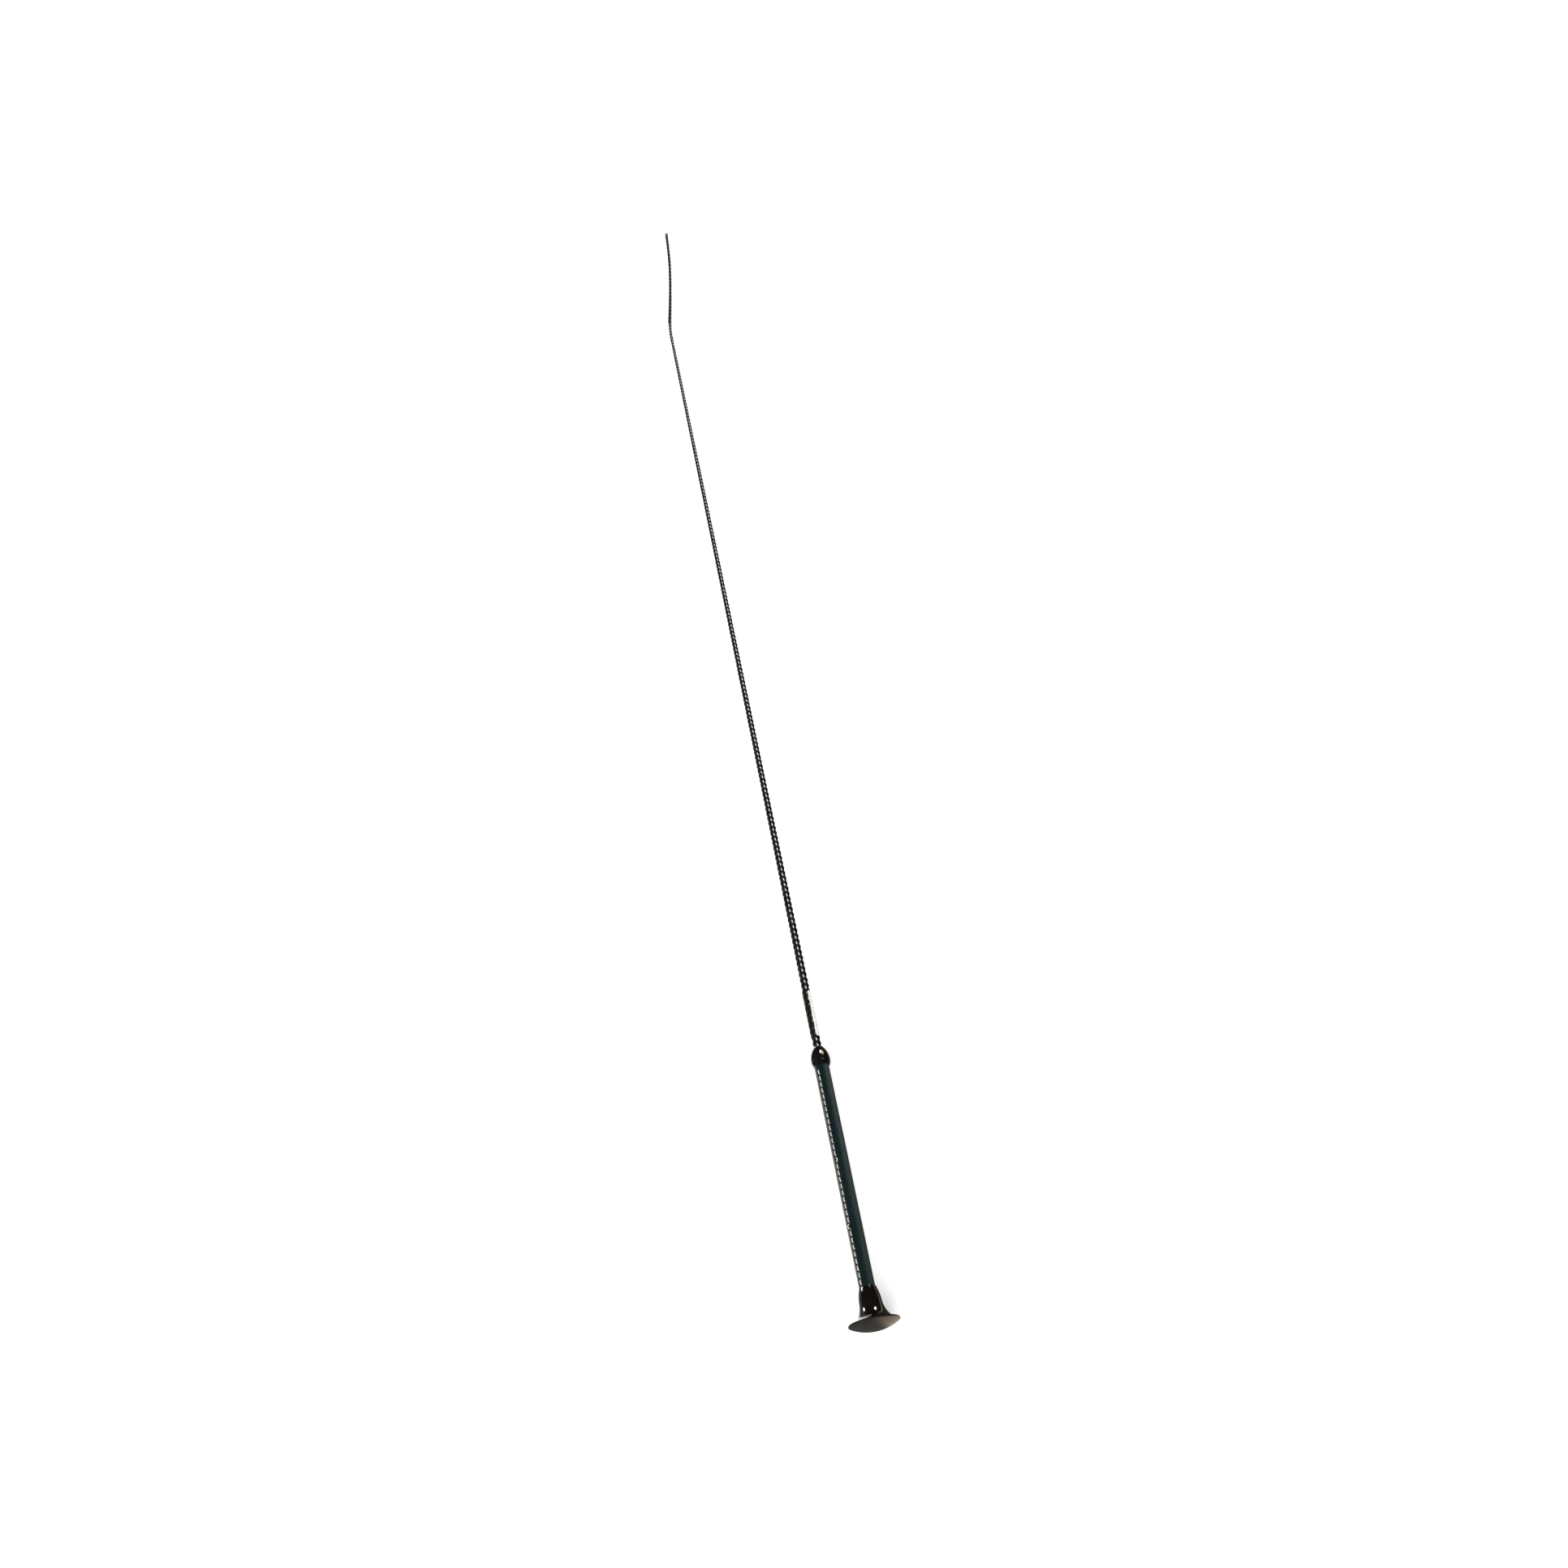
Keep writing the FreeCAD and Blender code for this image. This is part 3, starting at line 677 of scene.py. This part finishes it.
def floor_material():
    """A pale floor that glows a little, so that shadows on it stay light."""
    material, nodes, links, shader = new_material("floor_pale")
    soft = add(nodes, "ShaderNodeTexNoise")
    soft.inputs["Scale"].default_value = 3.0
    links.new(object_place(nodes), soft.inputs["Vector"])
    pale = colour_mix(nodes, links, soft.outputs[0], (0.86, 0.86, 0.86, 1), (0.88, 0.88, 0.88, 1))
    links.new(pale, shader.inputs["Base Color"])
    shader.inputs["Roughness"].default_value = 1.0
    shader.inputs["Specular IOR Level"].default_value = 0.0
    shader.inputs["Emission Color"].default_value = (1, 1, 1, 1)
    shader.inputs["Emission Strength"].default_value = 0.55
    return material


THREAD_LINES = thread_lines()
SURFACE_WEAR = surface_wear()


# ---------------------------------------------------------------- the braid


def strand_place(own, way, share_round, height, outside, lay, thickness):
    """Where a point of a wound strand goes, as (radius, angle, height).

    own is the strand's number in its family, way is 1 or -1 for the family's turn, share_round goes
    round its section, and outside is the braid's radius at that height.
    """
    winding = TURN / lay
    wave = thickness * WAVE_SHARE
    middle = outside - thickness / 2 - wave
    spacing = TURN * middle / STRANDS_EACH_WAY
    lean = math.atan(middle * winding)
    half_width = STRAND_FILL * spacing * math.cos(lean) / 2
    section = TURN * share_round
    across = half_width * math.cos(section)
    rise = thickness / 2 * math.copysign(abs(math.sin(section)) ** 0.85, math.sin(section))
    along = height - way * across * math.sin(lean)
    angle = own * TURN / STRANDS_EACH_WAY + way * winding * height
    angle += across * math.cos(lean) / middle
    crossing = (way * angle + winding * along) * STRANDS_EACH_WAY / TURN
    over = -way * math.cos(math.pi * (crossing - way * own))
    return middle + wave * over + rise, angle, along


def braid(name, low, high, outside, lay, place):
    """Both families of strands between two heights, as two objects."""
    rows = int((high - low) / (lay / STRANDS_EACH_WAY) * ROWS_PER_CROWN)
    pattern = strip(f"{name}_pattern", SECTION_SIDES, rows)
    families = []
    for way, label in ((1, "right"), (-1, "left")):
        strands = []
        for own in range(STRANDS_EACH_WAY):
            strand = pattern.copy()
            strand.data = pattern.data.copy()
            bpy.context.scene.collection.objects.link(strand)
            for v in strand.data.vertices:
                height = low + (high - low) * v.co.y
                radius = outside(height)
                thickness = THICKNESS_LEAST + THICKNESS_SHARE * radius
                uneven = noise.noise(Vector((own * 3.7 + way, height * 160, 0.5))) * STRAND_UNEVEN
                radius += uneven - STRAND_SUNK
                v.co = place(*strand_place(own, way, v.co.x, height, radius, lay, thickness))
            close_tube(strand)
            strands.append(strand)
        families.append(joined(strands, f"{name}_{label}"))
    bpy.data.objects.remove(pattern)
    return families


def cover_radius():
    """The braided cover's outside radius, as a function of height: the corners of its outside line."""
    found = {}
    for v in frame["nodes"]["braided_cover"].data.vertices:
        offset = v.co - AXIS_POINT
        height = round(offset.dot(AXIS), 5)
        found[height] = max(found.get(height, 0.0), offset.cross(AXIS).length)
    corners = []
    for height in sorted(found):
        while len(corners) > 1:
            (h0, r0), (h1, r1) = corners[-2:]
            if (r1 - r0) * (height - h0) > (found[height] - r0) * (h1 - h0):
                break
            corners.pop()
        corners.append((height, found[height]))
    return lambda at: between(corners, at)


def make_braided_cover(material):
    low = heights("ferrule")[1] - COVER_IN_FERRULE
    high = heights("tip_binding")[0] + COVER_IN_BINDING
    outside = cover_radius()
    pieces = braid("braided_cover", low, high, outside, SHAFT_LAY, polar)
    for piece in pieces:
        lay_down(piece)
        finished(piece, material, "braid", "whip", "braided_cover")
    return pieces


def make_tip_binding(material):
    low, high = heights("tip_binding")
    widest = radius_near("tip_binding", (low + high) / 2, 6 * MM)
    shape = [
        (low, cover_radius()(low) + BINDING_PROUD),
        (low + BINDING_TAPER, widest),
        (high - BINDING_TAPER, widest),
        (high, LASH_RADIUS + BINDING_TOP_PROUD),
    ]

    def outside(at):
        before, after = at - BINDING_ROUNDING, at + BINDING_ROUNDING
        return (between(shape, at) + between(shape, before) + between(shape, after)) / 3

    pieces = braid("tip_binding", low, high, outside, SHAFT_LAY, polar)
    for piece in pieces:
        for v in piece.data.vertices:
            v.co.x += TIP_BEND * max(0.0, (v.co.z - low) / (high - low)) ** 2
        lay_down(piece)
        finished(piece, material, "braid", "whip", "tip_binding")
    return pieces


# ---------------------------------------------------------------- the lash


def lash_line():
    """Points along the middle of the lash, read from a smooth curve through its route."""
    hinge = Vector(frame["joints"][0]["pos_m"])
    drawn = bpy.data.curves.new("lash_route", "CURVE")
    drawn.dimensions = "3D"
    route = drawn.splines.new("NURBS")
    corners = [hinge + Vector((TIP_BEND, 0, 0))] + [hinge + Vector((x, y, 0)) for x, y, _ in LASH_ROUTE]
    for corner, (_, _, up) in zip(corners[1:], LASH_ROUTE):
        corner.z = up
    route.points.add(len(corners) - 1)
    for point, corner in zip(route.points, corners):
        point.co = (*corner, 1)
    route.order_u = 3
    route.use_endpoint_u = True
    route.resolution_u = 60
    holder = bpy.data.objects.new("lash_route", drawn)
    bpy.context.scene.collection.objects.link(holder)
    bpy.context.view_layer.update()
    line = bpy.data.meshes.new_from_object(holder)
    points = [v.co.copy() for v in line.vertices]
    bpy.data.objects.remove(holder)
    return points


def on_line(points):
    """A function that puts (radius, angle, distance) on the line, and the line's length."""
    reached = [0.0]
    for a, b in zip(points, points[1:]):
        reached.append(reached[-1] + (b - a).length)

    def place(radius, angle, distance):
        at = min(max(distance, 0.0), reached[-1])
        low, high = 0, len(points) - 2
        while low < high:
            i = (low + high + 1) // 2
            if reached[i] <= at:
                low = i
            else:
                high = i - 1
        step = points[low + 1] - points[low]
        share = (at - reached[low]) / (reached[low + 1] - reached[low])
        middle = points[low] + step * share
        forward = step.normalized()
        middle += forward * (distance - at)
        side = forward.cross(Vector((0, 0, 1))).normalized()
        above = side.cross(forward)
        turned = angle + LASH_TURN
        return middle + side * radius * math.sin(turned) + above * radius * math.cos(turned)

    return place, reached[-1]


def make_lash(material):
    points = lash_line()
    place, length = on_line(points)

    def outside(at):
        return LASH_RADIUS + LASH_CROWNS + LASH_ROOT_SWELL * (1 - smooth_step(0.0, LASH_ROOT_FADES, at))

    families = braid("lash", -LASH_IN_BINDING, length, outside, LASH_LAY, place)
    cord = joined(families, "lash_cord")
    finished(cord, material, "lash_cord", None, "lash", "lash_root")
    hinge = points[0]
    forward = (points[1] - points[0]).normalized()
    bends_from, bends_to = hinge - forward * BEND_BEFORE_HINGE, hinge + forward * BEND_AFTER_HINGE
    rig.blend(cord, "whip", "lash", tuple(bends_from), tuple(bends_to))
    path = [tuple(p) for p in points]
    return cord, path, length


# ---------------------------------------------------------------- the stage


def make_camera():
    data = bpy.data.cameras.new("camera")
    data.lens = CAMERA_LENS
    data.sensor_width = 36.0
    data.clip_start, data.clip_end = 0.01, 50.0
    camera = bpy.data.objects.new("camera", data)
    bpy.context.scene.collection.objects.link(camera)
    look = (CAMERA_TARGET - CAMERA_PLACE).to_track_quat("-Z", "Y").to_matrix().to_4x4()
    camera.matrix_world = Matrix.Translation(CAMERA_PLACE) @ look @ Matrix.Rotation(CAMERA_ROLL, 4, "Z")
    bpy.context.scene.camera = camera


def area_light(name, place, target, size, radiance, colour, shines_on):
    """A light that only these pieces' reflections show. Its power follows from its size and radiance."""
    data = bpy.data.lights.new(name, "AREA")
    data.shape = "RECTANGLE"
    data.size, data.size_y = size
    data.energy = radiance * math.pi * size[0] * size[1]
    data.color = colour
    made = bpy.data.objects.new(name, data)
    bpy.context.scene.collection.objects.link(made)
    made.location = place
    made.rotation_euler = (Vector(target) - Vector(place)).to_track_quat("-Z", "Y").to_euler()
    made.visible_diffuse = False
    made.visible_camera = False
    receivers = bpy.data.collections.new(f"{name}_shines_on")
    for piece in shines_on:
        receivers.objects.link(piece)
    made.light_linking.receiver_collection = receivers


def floor_strip(name, left, right, near, far, radiance, colour, shines_on):
    """A bright stretch of the floor, as these pieces mirror it."""
    middle = ((left + right) / 2, (near + far) / 2)
    size = (right - left, far - near)
    area_light(name, (*middle, 0.001), (*middle, 1.0), size, radiance, colour, shines_on)


def make_stage():
    """A pale floor, one soft sun, and a room that is pale to the camera and dim to everything else."""
    deselect()
    bpy.ops.mesh.primitive_plane_add(size=9.0, location=(0, 0, -0.0002))
    floor = bpy.context.object
    floor.name = "floor"
    bpy.ops.object.transform_apply(location=True)
    floor.data.materials.append(floor_material())
    floor.visible_glossy = False
    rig.stage(floor)
    soft = bpy.data.lights.new("soft_key", "SUN")
    soft.energy = 4.0
    soft.angle = math.radians(75)
    key = bpy.data.objects.new("soft_key", soft)
    bpy.context.scene.collection.objects.link(key)
    key.rotation_euler = Vector((0.5, 0.75, -1.0)).to_track_quat("-Z", "Y").to_euler()
    key.visible_glossy = False
    world = bpy.data.worlds.new("room")
    bpy.context.scene.world = world
    world.use_nodes = True
    nodes, links = world.node_tree.nodes, world.node_tree.links
    room = nodes["Background"]
    room.inputs[0].default_value = (0.93, 0.96, 1.0, 1)
    seen = nodes.new("ShaderNodeLightPath")
    strength = spread(nodes, links, seen.outputs["Is Camera Ray"], 0.0, 1.0, 0.04, 0.95)
    links.new(strength, room.inputs[1])
    bpy.context.scene.view_settings.view_transform = "Standard"


def light_the_pieces(neck, ferrule, crown, bright_strands, braided, lash, leather, film):
    """Lights for each finish, as a studio sets cards and strips for each reflection."""
    warm, cream, brown, cool = (1.0, 0.88, 0.74), (1.0, 0.96, 0.89), (1.0, 0.8, 0.62), (0.9, 1.0, 0.95)
    area_light("neck_spot", (0.95, 1.75, 1.15), (0, -0.1, 0), (0.5, 0.46), 60.0, warm, neck)
    area_light("neck_drop", (-2.0, 1.35, 0.12), (0, -0.5, 0), (0.6, 0.55), 24.0, cream, neck)
    floor_strip("neck_left", -0.026, -0.006, -0.6, -0.25, 2.4, cream, neck)
    floor_strip("neck_left_far", -0.2, -0.03, -0.6, -0.25, 0.3, cream, neck)
    floor_strip("neck_right", 0.02, 0.2, -0.6, -0.25, 0.06, brown, neck)
    floor_strip("neck_streak", 0.07, 0.12, -0.49, -0.25, 1.6, brown, neck)
    area_light("ferrule_spot", (0.62, 1.7, 1.4), (0, -0.33, 0), (0.36, 0.7), 70.0, warm, ferrule)
    area_light("ferrule_gold", (1.1, 1.4, 1.1), (0, -0.33, 0), (1.0, 1.0), 9.0, brown, ferrule)
    floor_strip("ferrule_left", -0.03, -0.004, -0.5, -0.2, 3.0, cream, ferrule)
    floor_strip("ferrule_right", 0.01, 0.06, -0.5, -0.2, 0.25, brown, ferrule)
    floor_strip("crown_front", -0.05, 0.012, -0.8, -0.505, 0.15, cream, crown)
    floor_strip("crown_right", 0.012, 0.08, -0.8, -0.5, 1.6, brown, crown)
    area_light("braid_top", (0.24, 0.85, 1.0), (0.24, 0.85, 0.0), (0.6, 2.4), 24.0, cream, bright_strands)
    area_light("lash_top", (0.17, 1.6, 1.0), (0.17, 1.6, 0.0), (0.6, 1.8), 4.0, cream, lash)
    floor_strip("braid_left", -0.2, -0.004, -0.4, 0.8, 0.5, cream, braided)
    area_light("film_window", (0.9, 0.0, 0.52), (0, -0.3, 0), (0.9, 1.25), 26.0, cream, film)
    floor_strip("film_right", 0.003, 0.7, -0.4, -0.2, 7.0, cream, film)
    area_light("leather_right", (1.2, 0.2, 0.5), (0, -0.4, 0), (0.5, 1.0), 4.5, cool, leather)
    floor_strip("leather_left", -0.06, -0.006, -0.55, -0.28, 3.0, cream, leather)
    floor_strip("leather_floor", 0.01, 0.3, -0.55, -0.28, 0.4, cream, leather)


# ---------------------------------------------------------------- the grip


def seam_angle(height):
    """The seam's angle round the grip, which turns a little from the butt to the ferrule."""
    low, high = GRIP_OPEN
    share = (height - low) / (high - low)
    return SEAM_ANGLE_BUTT + (SEAM_ANGLE_TOP - SEAM_ANGLE_BUTT) * share


def stitch_starts():
    """The heights at which the stitches start."""
    low, high = GRIP_OPEN[0] + STITCH_MARGIN, GRIP_OPEN[1] - STITCH_MARGIN
    count = int((high - low - STITCH_LENGTH) / STITCH_PITCH) + 1
    return [low + i * STITCH_PITCH for i in range(count)]


def leather_radius(height):
    low, high = LEATHER
    share = (height - low[0]) / (high[0] - low[0])
    return low[1] + (high[1] - low[1]) * share


def leather_surface(across, height):
    """The leather's radius at a distance across from the seam, with its lap, channel and puckers."""
    radius = leather_radius(height)
    lap = smooth_step(-LAP_EDGE - 0.18 * MM, -LAP_EDGE + 0.12 * MM, across)
    lap *= 1 - smooth_step(0.0, LAP_WIDTH, across)
    channel = 1 - smooth_step(CHANNEL_HALF * 0.55, CHANNEL_HALF * 1.25, abs(across))
    open_grip = smooth_step(GRIP_OPEN[0] - 1 * MM, GRIP_OPEN[0] + 0.5 * MM, height)
    open_grip *= 1 - smooth_step(GRIP_OPEN[1] - 0.5 * MM, GRIP_OPEN[1] + 1 * MM, height)
    in_pitch = ((height - GRIP_OPEN[0] - STITCH_MARGIN) / STITCH_PITCH) % 1
    gap = 1 + (STITCH_LENGTH / STITCH_PITCH)
    near_hole = abs(in_pitch - gap / 2) * STITCH_PITCH
    hole = math.exp(-((near_hole / (0.75 * MM)) ** 2) - (across / (0.9 * MM)) ** 2)
    swell = math.cos(TURN * (in_pitch - 0.41)) * math.exp(-((across / (1.7 * MM)) ** 2))
    proud = lap * LAP_RISE - channel * CHANNEL_DEPTH * 0.9 - hole * 0.2 * MM + swell * 0.06 * MM
    broad = noise.noise(Vector((across * 90, height * 28, 1.7))) * 0.07 * MM
    return radius + (proud + broad) * open_grip


def make_grip_leather(material):
    low, high = heights("grip_leather")
    skin = strip("grip_leather_skin", 150, 300)
    for v in skin.data.vertices:
        height = low + (high - low) * v.co.y
        turn = v.co.x - 0.5
        around = TURN * (turn - 0.125 * math.sin(TURN * turn))
        across = around * leather_radius(height)
        radius = leather_surface(across, height)
        v.co = polar(radius, seam_angle(height) + around, height)
    close_tube(skin, ends=False)
    only(skin)
    apply(skin, "SOLIDIFY", thickness=LEATHER_THICKNESS, offset=-1.0, use_even_offset=True)
    lay_down(skin)
    return finished(skin, material, "leather", "whip", "grip_leather")


def stitch_line(index, start):
    """The points of one stitch: (distance across from the seam, height, how proud it stands)."""
    end = start + STITCH_LENGTH
    points = []
    for i in range(STITCH_ROWS):
        share = i / (STITCH_ROWS - 1)
        height = start + (end - start) * share
        dip = (2 * share - 1) ** 6
        drift = noise.noise(Vector((index * 2.3, share * 1.5, 0.2))) * 0.12 * MM
        drift += LOOSE_STITCHES.get(index, 0.0) * (1 - abs(2 * share - 1))
        points.append((drift, height, 0.42 * MM * (1 - dip) - 0.35 * MM * dip))
    return points


def make_seam_stitches(material):
    stitches = []
    for index, start in enumerate(stitch_starts()):
        line = stitch_line(index, start)
        stitch = strip("stitch", 10, len(line) - 1)
        for v in stitch.data.vertices:
            row = round(v.co.y * (len(line) - 1))
            across, height, proud = line[row]
            section = TURN * v.co.x
            swell = 1 - 0.3 * abs(2 * row / (len(line) - 1) - 1) ** 4
            half = THREAD_RADIUS * swell
            side = across + half * math.cos(section) * 1.12
            bed = leather_radius(height) + LAP_RISE - CHANNEL_DEPTH
            radius = bed + proud + half * math.sin(section)
            v.co = polar(radius, seam_angle(height) + side / bed, height)
        close_tube(stitch)
        stitches.append(stitch)
    row = joined(stitches, "seam_stitch_row")
    lay_down(row)
    return finished(row, material, "stitch_thread", "whip", "seam_stitches")


# ---------------------------------------------------------------- sleeve and CAD pieces


def make_clear_sleeve(material):
    """The shrunk film, which shows the braid's crowns faintly and thins at its ends."""
    low, high = heights("clear_sleeve")
    outside = cover_radius()
    film = strip("clear_sleeve_film", 64, 110)
    for v in film.data.vertices:
        height = low + (high - low) * v.co.y
        angle = TURN * v.co.x
        where = Vector((math.sin(angle) * 1.2, math.cos(angle) * 1.2, height * 260))
        lumps = noise.noise(where) * 0.05 * MM
        crowns = math.cos(STRANDS_EACH_WAY * angle) * math.cos(TURN * height / (SHAFT_LAY / STRANDS_EACH_WAY))
        edge = 1 - smooth_step(0.0, 1.0 * MM, min(height - low, high - height))
        radius = outside(height) + SLEEVE_PROUD + lumps + crowns * 0.03 * MM - 0.12 * MM * edge
        v.co = polar(radius, angle, height)
    close_tube(film, ends=False)
    only(film)
    apply(film, "SOLIDIFY", thickness=FILM_THICKNESS, offset=-1.0)
    lay_down(film)
    return finished(film, material, "clear_film", "whip", "clear_sleeve")


def dress(node, material):
    """Give a CAD node that stays its own material."""
    kept = frame["nodes"][node]
    kept.data.materials.clear()
    kept.data.materials.append(material)


GRIP_OPEN = (heights("cap_socket")[1], heights("ferrule")[0])
leather_low, leather_high = heights("grip_leather")
LEATHER = ((leather_low, LEATHER_RADIUS_BUTT), (leather_high, LEATHER_RADIUS_TOP))

waxed_braid = braid_material(
    "waxed_braid", 22.0, 900.0, (0.002, 0.0016, 0.0013, 1), (0.009, 0.0065, 0.005, 1), 0.2
)
lash_braid = braid_material(
    "lash_braid", 16.0, 180.0, (0.004, 0.003, 0.0025, 1), (0.016, 0.012, 0.009, 1), 0.3
)

make_camera()
make_stage()
lash_cord, lash_path, lash_length = make_lash(lash_braid)
lash_end = frame["nodes"]["lash_end"]
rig.cord(
    lash_cord,
    exit=lash_path[0],
    length=round(lash_length, 4),
    diameter=2 * LASH_RADIUS,
    far_end="bare",
    stiffness="limp",
    lay="loose",
    path=lash_path,
    with_pieces=[lash_end],
)
cover_strands = make_braided_cover(waxed_braid)
binding_strands = make_tip_binding(waxed_braid)
sleeve_film = make_clear_sleeve(film_material())
leather_skin = make_grip_leather(leather_material())
make_seam_stitches(stitch_material())
light_the_pieces(
    neck=[frame["nodes"]["cap_socket"]],
    ferrule=[frame["nodes"]["ferrule"]],
    crown=[frame["nodes"]["cap_crown"]],
    bright_strands=[cover_strands[1], binding_strands[1]],
    braided=[*cover_strands, *binding_strands],
    lash=[lash_cord],
    leather=[leather_skin],
    film=[sleeve_film],
)
GLOSS_BLACK = (0.004, 0.0032, 0.0024, 1)
dress("cap_socket", gloss_material("cap_gloss_black", GLOSS_BLACK, 0.07))
dress("ferrule", gloss_material("ferrule_gloss_black", GLOSS_BLACK, 0.07))
satin_grey = satin_material("cap_satin_grey", (0.014, 0.0135, 0.011, 1), (0.024, 0.021, 0.016, 1), 0.38)
dress("cap_crown", satin_grey)
for node, name, dark, light, scale, rough, metallic in (
    ("cap_weight", "turned_steel", (0.5, 0.5, 0.51, 1), (0.6, 0.6, 0.61, 1), 700.0, 0.3, 1.0),
    ("core_rod", "rod_fibreglass", (0.03, 0.028, 0.026, 1), (0.06, 0.055, 0.05, 1), 900.0, 0.5, 0.0),
    ("grip_core", "grip_tube", (0.08, 0.08, 0.08, 1), (0.12, 0.12, 0.12, 1), 500.0, 0.6, 0.0),
    ("lash_end", "lash_seal", (0.12, 0.11, 0.10, 1), (0.3, 0.29, 0.27, 1), 1400.0, 0.5, 0.0),
):
    dress(node, plain_material(name, dark, light, scale, rough, metallic))

low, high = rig.bounds()
with open("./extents.json", "w") as kept_sizes:
    kept_sizes.write(str([list(cad_low), list(cad_high), list(low), list(high)]))
